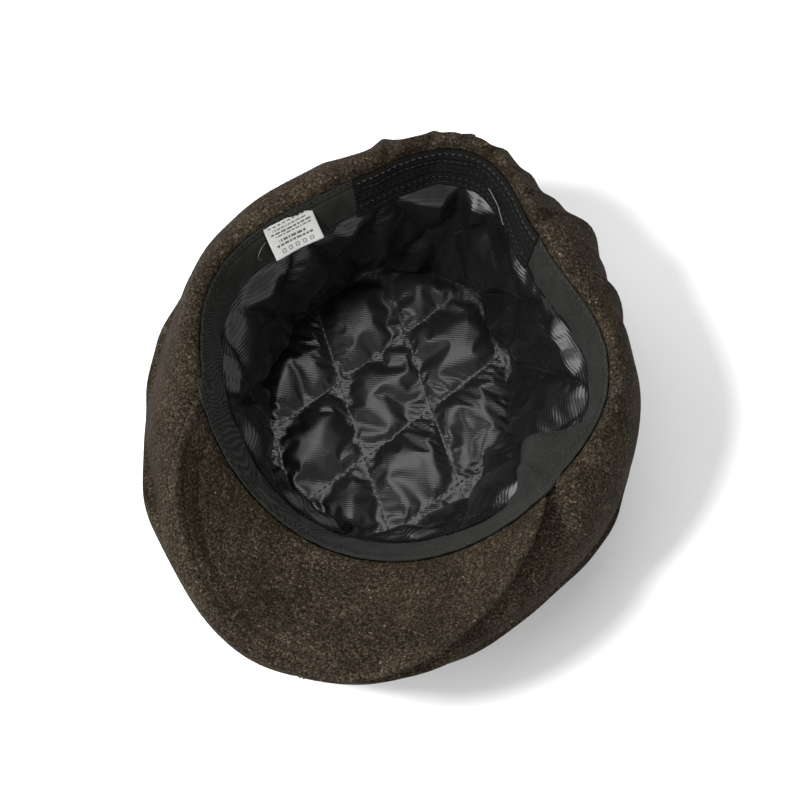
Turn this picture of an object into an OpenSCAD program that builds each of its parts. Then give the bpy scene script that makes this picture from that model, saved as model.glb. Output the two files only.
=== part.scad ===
// Flat newsboy cap in wool with a quilted lining, lying on its crown with the head opening up.
// Z is up, the visor points to -Y, and the origin is on the table under the middle of the crown.
// Round the cap, an angle of 0 is the centre front, 90 is the wearer's right and 180 the centre back.

/* [Head opening] */
// Half width of the head opening at the rim
rim_half_w = 90; // [86:1:94]
// From the cap's axis to the rim at the centre front
rim_front = 92; // [88:1:96]
// From the cap's axis to the rim at the centre back, before the elastic draws it in
rim_back = 100; // [96:1:104]
// How far the back elastic draws the rim in
elastic_draw = 20; // [14:1:22]
// Height of the rim at the sides
rim_h = 94; // [90:1:98]
// How much higher the rim is at the back than at the sides
rim_back_rise = 9; // [6:1:12]

/* [Crown] */
// Half width of the crown at its fullest
crown_half_w = 106; // [103:1:110]
// From the cap's axis to the crown's front edge, under the visor
crown_front = 142; // [138:1:146]
// From the cap's axis to the fullest point at the back, before the elastic draws it in
crown_back = 112; // [109:1:116]
// Height of the fullest line at the sides
full_h = 38; // [35:1:42]
// Extra height of the fullest line at the front and back
full_rise = 16; // [12:1:18]
// Share of the crown's reach that lies flat on the table
flat_share = 0.62; // [0.56:0.01:0.66]
// Wool cloth with its backing
wool_t = 2.4; // [2:0.1:3]
// Interlining inside the top of the crown
interlining_t = 1.5; // [1:0.1:2]

/* [Lining] */
// Half width of the quilted top lining
tip_half_w = 56; // [52:1:60]
// Half length of the quilted top lining
tip_half_l = 68; // [64:1:70]
// Height of the seam round the top lining
tip_seam_h = 16; // [14:1:20]
// How far the top lining sinks in its middle
tip_sink = 4; // [0:0.5:5]
// Satin face of the quilted lining
satin_t = 0.8; // [0.5:0.1:1]
// Wadding behind the satin
wadding_t = 3; // [2:0.5:3.5]

/* [Sweatband] */
// Width of the twill sweatband
band_w = 26; // [22:1:30]
// Thickness of the twill tape
band_t = 1.2; // [0.8:0.1:1.4]
// Thickness of the ribbed back elastic
elastic_t = 1.8; // [1.4:0.1:2]
// Half of the angle that the back elastic spans
elastic_half_span = 36; // [28:1:44]

/* [Visor] */
// Half width of the visor
visor_half_w = 75; // [72:1:77]
// From the visor's widest line to its tip
visor_reach = 86; // [82:1:90]
// From the cap's axis to the visor's widest line
visor_wide = 64; // [60:1:68]
// Radius that the visor board is bent to
visor_bend_r = 96; // [92:1:104]
// Upward slope of the visor towards its tip, in degrees
visor_slope = 14; // [11:0.5:16]
// Height of the visor board where it meets the centre front of the rim
visor_seat_h = 63; // [61:1:66]
// Stiff board inside the visor
board_t = 2; // [1.5:0.1:2.4]
// Wool cover on each face of the visor
cover_t = 1.7; // [1.4:0.1:2]
// Seam allowance between the board's edge and the visor's edge
board_inset = 4; // [3:0.5:5]
// Distance of the topstitching from the visor's edge
topstitch_inset = 10; // [8:0.5:12]

/* [Care label] */
// Width of the label
label_w = 23; // [20:1:26]
// Length of the label below its stitched edge
label_l = 15; // [12:1:16]
// Thickness of the doubled satin label
label_t = 0.5; // [0.4:0.1:0.8]
// Angle round the cap at which the label is sewn
label_at = -119; // [-124:1:-114]
// Angle between the label and straight down
label_lift = 42; // [38:1:50]

/* [Hidden] */

wool_colour = [0.23, 0.19, 0.16];
satin_colour = [0.04, 0.04, 0.045];
wadding_colour = [0.88, 0.88, 0.86];
twill_colour = [0.07, 0.07, 0.075];
label_colour = [0.82, 0.82, 0.82];
board_colour = [0.75, 0.73, 0.68];
thread_colour = [0.05, 0.05, 0.05];

crown_share = 0.55;     // share of the elastic's draw that reaches the fullest line
draw_from = 82;         // the draw starts at this angle
draw_span = 60;         // and is whole this much further on
draw_relax = 0.45;      // share of the draw that is given back at the centre back
relax_from = 148;       // the giving back starts at this angle
seat_gap = 1.5;         // the visor's inner edge stands this far outside the rim
half_stack = board_t / 2 + cover_t;
band_over_board = 2;    // the sweatband's top edge above the middle of the visor board
wool_under_board = 5;   // the wool's edge below the middle of the visor board
corner_blend = 6;       // angle over which the wool climbs from under the visor to the rim
fit_gap = 0.3;          // free space between pieces that face each other
seam_at = 30;           // place of the seam between side and top panel, along the lower curve
seam_gap = 0.6;         // angle left free between the two panels along that curve
band_top = 0.6;         // the sweatband stands this far above the rim
lean_side = 24;         // slope of the sweatband at the sides
lean_front = 12;        // added slope at the centre front
lean_back = 6;          // slope taken off at the centre back
wall_belly = 3;         // how far the lining's wall bulges outwards
wall_drop = 1.3;        // the lining's wall starts this far below the sweatband
back_fill = 0.96;       // share of the flat that the interlining covers
round_steps = 56;       // facets round the whole cap
roll_steps = 6;         // facets from the rim to the fullest line
under_steps = 3;        // facets from the fullest line to the panel seam
floor_steps = 4;        // facets from the panel seam to the flat of the crown
wall_steps = 4;         // facets down the lining wall
band_steps = 2;         // facets across the sweatband
thread_d = 0.6;         // sewing thread, as laid
stitch_l = 2.6;         // length of one stitch
thread_gap = 0.2;       // the thread's clearance from the cloth, which is faceted
label_gap = 0.8;        // free space behind the label

// The visor's inner edge is an ellipse just outside the rim; it ends where the visor is widest.
seat_half_w = rim_half_w + seat_gap;
seat_front = rim_front + seat_gap;
corner_front = seat_front * sqrt(1 - pow(visor_half_w / seat_half_w, 2));
visor_corner = atan2(visor_half_w, corner_front);

// The cap's axis stands behind the origin, so that the origin is in the middle of the whole length.
back_reach = crown_back - crown_share * elastic_draw * (1 - draw_relax) + wool_t / 2;
axis_y = (visor_wide + visor_reach - back_reach) / 2;

// ---- Shapes round the cap ----

function smooth(t) = let (u = min(1, max(0, t))) u * u * (3 - 2 * u);
function fold(a) = abs(a > 180 ? a - 360 : a);

function polar_ellipse(a, half_w, front, back) =
    let (b = cos(a) > 0 ? front : back)
    1 / sqrt(pow(sin(a) / half_w, 2) + pow(cos(a) / b, 2));

function draw_in(a) =
    elastic_draw * smooth((fold(a) - draw_from) / draw_span)
        * (1 - draw_relax * smooth((fold(a) - relax_from) / (180 - relax_from)));
function rim_r(a) = polar_ellipse(a, rim_half_w, rim_front, rim_back) - draw_in(a);
function side_z(a) = rim_h - rim_back_rise * cos(a);

// Height of the bent visor at x, and at a distance in front of the axis, lift above the board's middle.
function visor_z(x, front, lift) =
    let (r = visor_bend_r - lift)
    visor_seat_h + (visor_bend_r - sqrt(r * r - x * x)) / cos(visor_slope)
        + (front - seat_front) * tan(visor_slope);
function seat_z(a) =
    let (b = min(fold(a), visor_corner + corner_blend))
    visor_z(rim_r(b) * sin(b), rim_r(b) * cos(b), 0);

function visor_share(a) = 1 - smooth((fold(a) - visor_corner - 1) / corner_blend);
function near_visor(a, lift) = side_z(a) + (seat_z(a) + lift - side_z(a)) * visor_share(a);
function rim_z(a) = near_visor(a, band_over_board);
function wool_rim_z(a) = near_visor(a, -wool_under_board);

function full_r(a) = polar_ellipse(a, crown_half_w, crown_front, crown_back) - crown_share * draw_in(a);
function full_z(a) = full_h + full_rise * pow(cos(a), 2);
function flat_r(a) = flat_share * full_r(a);

// The middle of the wool: [distance from the axis, height].
// s runs 0 to 90 from the rim to the fullest line, and on to 180 at the flat of the crown.
function wool_mid(a, s) =
    s <= 90
    ? let (r0 = rim_r(a) + fit_gap)
        [r0 + (full_r(a) - r0) * sin(s), full_z(a) + (wool_rim_z(a) - full_z(a)) * cos(s)]
    : [flat_r(a) + (full_r(a) - flat_r(a)) * cos(s - 90),
        wool_t / 2 + (full_z(a) - wool_t / 2) * (1 - sin(s - 90))];

// The slope of the sweatband away from upright: steep at the front, where it is sewn flat.
function band_lean(a) =
    lean_side + lean_front * pow(max(0, cos(a)), 2) - lean_back * pow(max(0, -cos(a)), 2);

// The middle of the sweatband at the share s of its width, and a point that stands off its face.
function band_mid(a, s, t) = [
    rim_r(a) - t / 2 - s * band_w * sin(band_lean(a)),
    rim_z(a) + band_top - s * band_w * cos(band_lean(a))
];
function off_band(a, s, off) =
    band_mid(a, s, band_t) + (band_t / 2 + off) * [-cos(band_lean(a)), sin(band_lean(a))];

// The middle of the satin, down the wall and over the top lining; the wadding lies behind it.
function tip_r(a) = polar_ellipse(a, tip_half_w, tip_half_l, tip_half_l);
function wall_mid(a, s) =
    let (top = band_mid(a, 1, band_t), low = [tip_r(a), tip_seam_h])
    [top[0] + (low[0] - top[0]) * s + wall_belly * sin(180 * s),
        top[1] - wall_drop + (low[1] - top[1]) * s];
function tip_mid(a, s) = [tip_r(a) * (1 - s), tip_seam_h - tip_sink * sin(90 * s)];

// Unit vector square to the step from p to q, to the left of it.
function left_of(p, q) = let (d = q - p, l = norm(d)) [-d[1] / l, d[0] / l];
function side_of(row, i) =
    let (last = len(row) - 1)
    left_of(row[max(0, i - 1)], row[min(last, i + 1)]);

// The closed outline of a cloth strip whose faces lie at the offsets from and to from row.
function strip_outline(row, from, to) = [
    for (i = [0 : len(row) - 1]) row[i] + side_of(row, i) * to,
    for (i = [len(row) - 1 : -1 : 0]) row[i] + side_of(row, i) * from
];

function place(a, p) = [p[0] * sin(a), axis_y - p[0] * cos(a), p[1]];

// Skins one closed outline to the next. outlines is a list of rings of 3D points.
module skin(outlines) {
    n = len(outlines[0]);
    rings = len(outlines);
    points = [for (ring = outlines) each ring];
    half = n / 2;
    walls = [
        for (k = [0 : rings - 2], i = [0 : n - 1])
            let (p = k * n + i, q = k * n + (i + 1) % n, r = q + n, s = p + n)
            each i < half ? [[p, q, r], [p, r, s]] : [[p, q, s], [q, r, s]]
    ];
    caps = [
        for (base = [0, (rings - 1) * n], i = [0 : half - 2])
            let (p = base + i, q = base + i + 1, r = base + n - 2 - i, s = base + n - 1 - i)
            each base == 0 ? [[p, r, q], [p, s, r]] : [[p, q, r], [p, r, s]]
    ];
    polyhedron(points, concat(walls, caps), convexity = 8);
}

// A round cloth panel with its faces low and high from rows, which run from its edge to near its
// centre. centre_z is the height of its middle there.
module disc_panel(rows, centre_z, low, high) {
    n = len(rows);
    m = len(rows[0]);
    fronts = [for (k = [0 : n - 1]) [
        for (i = [0 : m - 1]) place(k * 360 / n, rows[k][i] + side_of(rows[k], i) * high)]];
    backs = [for (k = [0 : n - 1]) [
        for (i = [0 : m - 1]) place(k * 360 / n, rows[k][i] + side_of(rows[k], i) * low)]];
    points = concat(
        [for (row = fronts) each row], [for (row = backs) each row],
        [[0, axis_y, centre_z - high], [0, axis_y, centre_z - low]]);
    back = n * m;
    top = 2 * n * m;
    grid = [
        for (k = [0 : n - 1], i = [0 : m - 2])
            let (p = k * m + i, q = ((k + 1) % n) * m + i)
            each [
                [p, q, q + 1], [p, q + 1, p + 1],
                [back + p, back + q + 1, back + q], [back + p, back + p + 1, back + q + 1]
            ]
    ];
    edge = [
        for (k = [0 : n - 1])
            let (p = k * m, q = ((k + 1) % n) * m)
            each [[p, back + p, back + q], [p, back + q, q]]
    ];
    middle = [
        for (k = [0 : n - 1])
            let (p = k * m + m - 1, q = ((k + 1) % n) * m + m - 1)
            each [[p, q, top], [back + p, top + 1, back + q]]
    ];
    polyhedron(points, concat(grid, edge, middle), convexity = 8);
}

// Angles from one to another, whole of them to a full turn.
function angles(from, to, whole = round_steps) =
    let (n = max(2, round(abs(to - from) * whole / 360)))
    [for (k = [0 : n]) from + (to - from) * k / n];

// ---- Crown ----

under_row = [for (i = [0 : under_steps]) 90 + seam_at * i / under_steps];
roll_row = [for (i = [0 : roll_steps - 1]) 90 * i / roll_steps];

module crown_side(from, to) {
    color(wool_colour)
        skin([for (a = angles(from, to)) [
            for (p = strip_outline([for (s = concat(roll_row, under_row)) wool_mid(a, s)],
                -wool_t / 2, wool_t / 2))
                place(a, p)]]);
}

// Down from the panel seam to the flat of the crown, and half way in across it.
function floor_row(a) = [
    for (i = [0 : floor_steps])
        wool_mid(a, 90 + seam_at + seam_gap + (90 - seam_at - seam_gap) * i / floor_steps),
    [flat_r(a) / 2, wool_t / 2]
];

module crown_top_panel() {
    color(wool_colour)
        disc_panel([for (k = [0 : round_steps - 1]) floor_row(k * 360 / round_steps)],
            wool_t / 2, -wool_t / 2, wool_t / 2);
}

module crown_interlining() {
    color(board_colour)
        translate([0, axis_y, wool_t + 0.1])
            linear_extrude(interlining_t)
                polygon([for (a = angles(0, 350)) back_fill * flat_r(a) * [sin(a), -cos(a)]]);
}

// ---- Lining ----

wall_row = [for (i = [0 : wall_steps]) i / wall_steps];
tip_row = [0.07, 0.35, 0.65];
satin_out = satin_t / 2;
wadding_out = satin_out + wadding_t;

// A layer of the lining's wall, between the offsets in and out from the satin's middle.
module lining_wall(from, to, in, out) {
    skin([for (a = angles(from, to)) [
        for (p = strip_outline([for (s = wall_row) wall_mid(a, s)], in, out))
            place(a, p)]]);
}

module lining_disc(in, out) {
    disc_panel([for (k = [0 : round_steps - 1])
        let (a = k * 360 / round_steps)
        [for (s = tip_row) tip_mid(a, s)]],
        tip_seam_h - tip_sink, in, out);
}

module lining_side(from, to) {
    color(satin_colour) lining_wall(from, to, -satin_out, satin_out);
}

module lining_top() {
    color(satin_colour) lining_disc(-satin_out, satin_out);
}

module wadding_side(from, to) {
    color(wadding_colour) lining_wall(from, to, satin_out, wadding_out);
}

module wadding_top() {
    color(wadding_colour) lining_disc(satin_out, wadding_out);
}

// ---- Sweatband ----

elastic_from = 180 - elastic_half_span;
band_end = visor_corner + 3;    // the front piece runs a little past the visor's corner

module band(from, to, t) {
    skin([for (a = angles(from, to, 2 * round_steps)) [
        for (p = strip_outline([for (i = [0 : band_steps]) band_mid(a, i / band_steps, t)], -t / 2, t / 2))
            place(a, p)]]);
}

module sweatband_front() {
    color(twill_colour) band(-band_end, band_end, band_t);
}

module sweatband_side(from, to) {
    color(twill_colour) band(from, to, band_t);
}

module back_elastic() {
    color(twill_colour) band(elastic_from, 180 + elastic_half_span, elastic_t);
}

// One stitch: a short length of thread from p towards q.
module stitch(p, q) {
    d = q - p;
    translate(p)
        rotate([0, acos(d[2] / norm(d)), atan2(d[1], d[0])])
            cylinder(d = thread_d, h = stitch_l, $fn = 24);
}

// count stitches along the sweatband, at the share s of its width.
module stitch_row(from, to, count, s) {
    off = thread_d / 2 + thread_gap;
    for (k = [0 : count - 1]) {
        a = from + (to - from) * (k + 0.5) / count;
        stitch(place(a, off_band(a, s, off)), place(a + 1, off_band(a + 1, s, off)));
    }
}

stitches_front = 28;
stitches_side = 20;
rim_row = 0.08;     // the upper row's place across the sweatband
lining_row = 0.93;  // the lower row's place

module band_stitching(s) {
    color(thread_colour) {
        stitch_row(-band_end + 2, band_end - 2, stitches_front, s);
        for (side = [1, -1])
            stitch_row(side * (band_end + 7), side * (elastic_from - 3), stitches_side, s);
    }
}

// ---- Visor ----

module oval(half_w, half_l) {
    polygon([for (a = [0 : 5 : 355]) [half_w * cos(a), half_l * sin(a)]]);
}

// Outline of the visor drawn in by inset all round, seen from above.
module visor_outline(inset) {
    translate([0, axis_y])
        difference() {
            translate([0, -visor_wide])
                oval(visor_half_w - inset, visor_reach - inset);
            oval(seat_half_w + inset, seat_front + inset);
            translate([-2 * visor_half_w, -corner_front + 2])
                square([4 * visor_half_w, 2 * visor_reach]);
        }
}

// The bent layer between the heights low and high above the board's middle.
module visor_layer(low, high) {
    translate([0, axis_y - seat_front, visor_seat_h])
        rotate([90 - visor_slope, 0, 0])
            translate([0, visor_bend_r, -visor_reach])
                difference() {
                    cylinder(r = visor_bend_r - low, h = 3 * visor_reach, $fn = 120);
                    translate([0, 0, -1])
                        cylinder(r = visor_bend_r - high, h = 3 * visor_reach + 2, $fn = 120);
                }
}

module visor_piece(low, high, inset) {
    intersection() {
        linear_extrude(120) visor_outline(inset);
        visor_layer(low, high);
    }
}

module visor_board() {
    color(board_colour) visor_piece(-board_t / 2, board_t / 2, board_inset);
}

module visor_under_cover() {
    color(wool_colour)
        difference() {
            visor_piece(0, half_stack, 0);
            visor_piece(-board_t / 2, board_t / 2, board_inset);
        }
}

module visor_top_cover() {
    color(wool_colour)
        difference() {
            visor_piece(-half_stack, 0, 0);
            visor_piece(-board_t / 2, board_t / 2, board_inset);
        }
}

function topstitch_point(a) =
    let (x = (visor_half_w - topstitch_inset) * sin(a),
         front = visor_wide + (visor_reach - topstitch_inset) * cos(a))
    [x, axis_y - front, visor_z(x, front, half_stack + thread_d / 2 + thread_gap / 2)];

topstitches = 44;
topstitch_half_span = 78;

module visor_topstitching() {
    color(thread_colour)
        for (k = [0 : topstitches - 1]) {
            a = topstitch_half_span * (2 * (k + 0.5) / topstitches - 1);
            stitch(topstitch_point(a), topstitch_point(a + 1));
        }
}

// ---- Care label ----

label_row = 0.2;        // the sewn edge's place across the sweatband
label_seat = band_mid(label_at, label_row, band_t) - [band_t / 2 + label_t + label_gap, 0];
label_step = place(label_at + 1, band_mid(label_at + 1, label_row, band_t))
    - place(label_at - 1, band_mid(label_at - 1, label_row, band_t));
label_yaw = atan2(label_step[1], label_step[0]);    // the sewn edge lies along the band

module at_label() {
    translate(place(label_at, label_seat))
        rotate([0, 0, label_yaw])
            rotate([-90 + label_lift, 0, 0])
                children();
}

module care_label() {
    color(label_colour)
        at_label()
            translate([-label_w / 2, 0, -label_t / 2])
                cube([label_w, label_l, label_t]);
}

label_stitches = 6;

module label_stitching() {
    color(thread_colour)
        at_label()
            for (k = [0 : label_stitches - 1])
                translate([label_w * ((k + 0.3) / label_stitches - 0.5), 2 * thread_d,
                    (label_t + thread_d) / 2 + 0.05])
                    rotate([0, 90, 0])
                        cylinder(d = thread_d, h = stitch_l, $fn = 24);
}

// ---- Assembly ----

crown_top_panel();
crown_side(-180, 0);  // crown_side_left
crown_side(0, 180);  // crown_side_right
crown_interlining();
lining_top();
lining_side(-180, 0);  // lining_side_left
lining_side(0, 180);  // lining_side_right
wadding_top();
wadding_side(-180, 0);  // wadding_side_left
wadding_side(0, 180);  // wadding_side_right
sweatband_front();
sweatband_side(-elastic_from, -band_end);  // sweatband_left
sweatband_side(band_end, elastic_from);  // sweatband_right
back_elastic();
band_stitching(rim_row);  // rim_stitching
band_stitching(lining_row);  // sweatband_stitching
visor_under_cover();
visor_board();
visor_top_cover();
visor_topstitching();
care_label();
label_stitching();
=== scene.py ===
import bpy
import numpy as np
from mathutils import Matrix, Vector


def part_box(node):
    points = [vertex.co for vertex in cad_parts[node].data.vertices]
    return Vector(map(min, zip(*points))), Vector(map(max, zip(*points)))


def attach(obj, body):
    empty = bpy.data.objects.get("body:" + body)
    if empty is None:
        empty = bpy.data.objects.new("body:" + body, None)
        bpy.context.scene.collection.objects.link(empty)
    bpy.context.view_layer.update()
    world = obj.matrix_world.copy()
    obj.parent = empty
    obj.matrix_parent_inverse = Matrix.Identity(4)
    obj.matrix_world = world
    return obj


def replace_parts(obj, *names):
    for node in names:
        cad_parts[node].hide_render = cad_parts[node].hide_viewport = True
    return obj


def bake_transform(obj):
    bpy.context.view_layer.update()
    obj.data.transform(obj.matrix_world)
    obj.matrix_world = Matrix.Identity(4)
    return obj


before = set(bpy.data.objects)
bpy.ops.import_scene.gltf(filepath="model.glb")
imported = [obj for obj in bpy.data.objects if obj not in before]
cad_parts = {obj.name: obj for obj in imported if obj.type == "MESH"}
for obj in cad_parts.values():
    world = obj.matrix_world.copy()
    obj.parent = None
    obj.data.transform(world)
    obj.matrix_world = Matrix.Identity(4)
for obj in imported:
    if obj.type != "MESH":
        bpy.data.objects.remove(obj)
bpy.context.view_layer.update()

mm = 0.001


# ---- small numeric helpers ----

def smooth(t):
    u = np.clip(t, 0, 1)
    return u * u * (3 - 2 * u)


def bell(x, width):
    return np.exp(-(x / width) ** 2)


def foldAngle(a):                       # degrees from the centre front, either way round
    return np.abs((a + 180) % 360 - 180)


def sinD(a):
    return np.sin(np.radians(a))


def cosD(a):
    return np.cos(np.radians(a))


# Soft uneven waves: a sum of sines in random directions, each about `size` metres long.
def waves(points, size, seed, count=7):
    rng = np.random.default_rng(seed)
    total = np.zeros(points.shape[:-1])
    for _ in range(count):
        direction = rng.normal(size=3)
        direction *= rng.uniform(0.7, 1.4) / np.linalg.norm(direction)
        total += np.sin(points @ direction * 2 * np.pi / size + rng.uniform(0, 2 * np.pi))
    return total / np.sqrt(count)


# ---- the cap's shape, repeated from the frame's own formulas ----

cap = dict(rimHalfW=90 * mm, rimFront=92 * mm, rimBack=100 * mm, elasticDraw=20 * mm,
           rimHeight=94 * mm, rimBackRise=9 * mm, crownFront=142 * mm, crownBack=112 * mm,
           fullHeight=38 * mm, fullRise=16 * mm, flatShare=0.62, drawShare=0.55, drawFrom=82, drawRelax=0.45,
           tipHalfW=56 * mm, tipHalfL=68 * mm, tipHeight=15.5 * mm, tipSink=4 * mm,
           bandWidth=26 * mm, bandThick=1.2 * mm, elasticHalfSpan=36,
           lean=12 * mm, leanFrom=70 * mm, rightDraw=4 * mm)
wool = dict(shell=1.7 * mm, thick=2.4 * mm, roll=2.2 * mm, panelSeamAt=120)
visor = dict(halfW=75 * mm, reach=86 * mm, wide=64 * mm, bendR=96 * mm, slope=14, seatHeight=63 * mm,
             seatGap=1.5 * mm, halfStack=2.7 * mm, underBand=1.6 * mm)

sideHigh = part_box("crown_side_right")[1]
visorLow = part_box("visor_under_cover")[0]
cap["crownHalfW"] = sideHigh.x - wool["thick"] / 2
axisY = visorLow.y + visor["wide"] + visor["reach"]
seatHalfW = cap["rimHalfW"] + visor["seatGap"]
seatFront = cap["rimFront"] + visor["seatGap"]
cornerFront = seatFront * np.sqrt(1 - (visor["halfW"] / seatHalfW) ** 2)
visorCorner = np.degrees(np.arctan2(visor["halfW"], cornerFront))


def polarEllipse(a, halfW, front, back):
    b = np.where(cosD(a) > 0, front, back)
    return 1 / np.sqrt((sinD(a) / halfW) ** 2 + (cosD(a) / b) ** 2)


# The elastic draws the rim in between the sides and the back, a little more on the right.
def drawIn(a):
    right = cap["rightDraw"] * smooth((a - 100) / 35) * smooth((178 - a) / 30)
    share = smooth((foldAngle(a) - cap["drawFrom"]) / 60)
    return cap["elasticDraw"] * share * (1 - cap["drawRelax"] * smooth((foldAngle(a) - 148) / 32)) + right


def rimRadius(a):
    return polarEllipse(a, cap["rimHalfW"], cap["rimFront"], cap["rimBack"]) - drawIn(a)


# Height of the bent visor at x, at a distance in front of the cap's axis, lift above its middle.
def visorHeight(x, front, lift):
    r = visor["bendR"] - lift
    bend = (visor["bendR"] - np.sqrt(r * r - x * x)) / cosD(visor["slope"])
    return visor["seatHeight"] + bend + (front - seatFront) * np.tan(np.radians(visor["slope"]))


def nearVisor(a, lift):
    b = np.minimum(foldAngle(a), visorCorner + 6)
    seat = visorHeight(rimRadius(b) * sinD(b), rimRadius(b) * cosD(b), 0) + lift
    side = cap["rimHeight"] - cap["rimBackRise"] * cosD(a)
    return side + (seat - side) * (1 - smooth((foldAngle(a) - visorCorner - 1) / 6))


def rimHeight(a):
    return nearVisor(a, 2 * mm)


# Where the slack crown bulges or falls in, seen from above: angle and width in degrees, then distance.
planBulges = [(68, 14, 3.5 * mm), (34, 20, -1.5 * mm), (-135, 30, 3 * mm), (143, 9, 7 * mm),
              (112, 10, -4 * mm)]


def fullRadius(a):
    ellipse = polarEllipse(a, cap["crownHalfW"], cap["crownFront"], cap["crownBack"])
    slump = sum(push * bell(a - angle, width) for angle, width, push in planBulges)
    return ellipse + slump - cap["drawShare"] * drawIn(a)


# From a place round the axis to the row frame. Below the sweatband the cap leans to its left.
def place(a, r, z):
    lean = cap["lean"] * smooth((cap["leanFrom"] - z) / cap["leanFrom"])
    return np.stack([r * sinD(a) - lean, axisY - r * cosD(a), z + 0 * r], -1)


# ---- meshes ----

def makeObject(name, verts, faces, material, body="cap"):
    mesh = bpy.data.meshes.new(name)
    faces = faces if isinstance(faces, list) else faces.tolist()
    mesh.from_pydata(np.asarray(verts).reshape(-1, 3), [], faces)
    mesh.polygons.foreach_set("use_smooth", np.ones(len(mesh.polygons), bool))
    mesh.materials.append(material)
    mesh.validate()
    piece = bpy.data.objects.new(name, mesh)
    bpy.context.scene.collection.objects.link(piece)
    if body:
        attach(piece, body)
    return piece


# Faces of a grid of rows by columns; a closed way round joins its last column to its first.
def gridFaces(rows, cols, closed=False, flip=False):
    i, j = np.meshgrid(np.arange(rows - 1), np.arange(cols if closed else cols - 1), indexing="ij")
    k = (j + 1) % cols
    faces = np.stack([i * cols + j, i * cols + k, (i + 1) * cols + k, (i + 1) * cols + j], -1).reshape(-1, 4)
    return faces[:, ::-1] if flip else faces


def thicken(piece, thickness, offset=-1):
    shell = piece.modifiers.new("Cloth thickness", "SOLIDIFY")
    shell.thickness, shell.offset = thickness, offset
    return piece


# ---- sewing ----

sewing = dict(pitch=2.9 * mm, length=2.1 * mm, radius=0.24 * mm, arch=0.22 * mm, sides=6, rings=5)


def unit(v):
    return v / np.maximum(np.linalg.norm(v, axis=-1, keepdims=True), 1e-12)


# Places every pitch along a path, with the path's direction and the cloth's normal there.
def alongPath(points, normals, pitch):
    far = np.concatenate([[0], np.cumsum(np.linalg.norm(np.diff(points, axis=0), axis=1))])
    at = (np.arange(max(1, int(far[-1] / pitch))) + 0.5) * pitch
    pick = lambda values, s: np.stack([np.interp(s, far, values[:, k]) for k in range(3)], -1)
    ahead = unit(pick(points, at + 0.3 * mm) - pick(points, at - 0.3 * mm))
    return pick(points, at), ahead, unit(pick(normals, at))


# One mesh of stitches: each is a short arched length of thread whose ends dip into the cloth.
def stitchMesh(name, rows, material, body="cap", scale=1.0):
    radius, length = sewing["radius"] * scale, sewing["length"] * scale
    centre, ahead, up = (np.concatenate(parts) for parts in
                         zip(*[alongPath(p, n, sewing["pitch"] * scale) for p, n in rows]))
    aside = np.cross(up, ahead)
    t = np.linspace(-1, 1, sewing["rings"])[None, :, None, None]
    turn = (np.arange(sewing["sides"]) * 2 * np.pi / sewing["sides"])[None, None, :, None]
    thick = radius * np.sqrt(1 - 0.85 * t * t)
    lift = sewing["arch"] * scale * (1 - 1.8 * t * t)
    c, d, u, b = (v[:, None, None, :] for v in (centre, ahead, up, aside))
    verts = c + d * t * length / 2 + u * (lift + thick * np.cos(turn)) + b * thick * np.sin(turn)
    count = len(centre)
    one = gridFaces(sewing["rings"], sewing["sides"], closed=True)
    per = sewing["rings"] * sewing["sides"]
    tubes = (one[None] + np.arange(count)[:, None, None] * per).reshape(-1, 4).tolist()
    ends = [list(range(k * per + sewing["sides"] - 1, k * per - 1, -1)) for k in range(count)]
    ends += [list(range((k + 1) * per - sewing["sides"], (k + 1) * per)) for k in range(count)]
    return makeObject(name, verts, tubes + ends, material, body)


# Points and outward normals of a row on surface(a, b), where a runs along the row.
def rowOn(surface, a, b):
    step = 0.01
    alongA = surface(a + step, b) - surface(a - step, b)
    alongB = surface(a, b + step) - surface(a, b - step)
    return surface(a, b), unit(np.cross(alongA, alongB))


# ---- materials ----

# A shader socket that takes part in Python arithmetic.
class Wire:
    def __init__(self, tree, socket=None):
        self.tree, self.socket = tree, socket

    def node(self, kind, settings=None, inputs=None, out=0):
        made = self.tree.nodes.new("ShaderNode" + kind)
        for name, value in (settings or {}).items():
            if name == "stops":
                ramp = made.color_ramp.elements
                while len(ramp) < len(value):
                    ramp.new(0.5)
                for stop, (position, colour) in zip(ramp, value):
                    stop.position, stop.color = position, (*colour, 1)
            else:
                setattr(made, name, value)
        for key, value in (inputs or {}).items():
            if isinstance(value, Wire):
                self.tree.links.new(value.socket, made.inputs[key])
            else:
                made.inputs[key].default_value = value
        return Wire(self.tree, made.outputs[out])

    def maths(self, operation, *values):
        return self.node("Math", {"operation": operation}, dict(enumerate(values)))

    def __add__(self, other):
        return self.maths("ADD", self, other)

    def __sub__(self, other):
        return self.maths("SUBTRACT", self, other)

    def __mul__(self, other):
        return self.maths("MULTIPLY", self, other)

    def mixColour(self, first, second):
        return self.node("Mix", {"data_type": "RGBA"}, {0: self, 6: first, 7: second}, out=2)

    def range(self, low, high, toLow=0.0, toHigh=1.0):
        return self.node("MapRange", {"interpolation_type": "SMOOTHSTEP"},
                         {0: self, 1: low, 2: high, 3: toLow, 4: toHigh})


def newMaterial(name, fixed, build):
    material = bpy.data.materials.new(name)
    material.use_nodes = True
    tree = material.node_tree
    shader = next(n for n in tree.nodes if n.type == "BSDF_PRINCIPLED")
    for key, value in fixed.items():
        shader.inputs[key].default_value = value
    start = Wire(tree)
    place = start.node("TexCoord", out=3)
    for key, wire in build(place).items():
        tree.links.new(wire.socket, shader.inputs[key])
    return material


def noise(place, scale, detail=2.0, rough=0.5):
    return place.node("TexNoise", {}, {"Vector": place, "Scale": scale, "Detail": detail, "Roughness": rough})


def stretched(place, scale, turn=(0, 0, 0)):
    inputs = {"Vector": place, "Scale": scale, "Rotation": turn}
    return place.node("Mapping", {"vector_type": "POINT"}, inputs)


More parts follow.
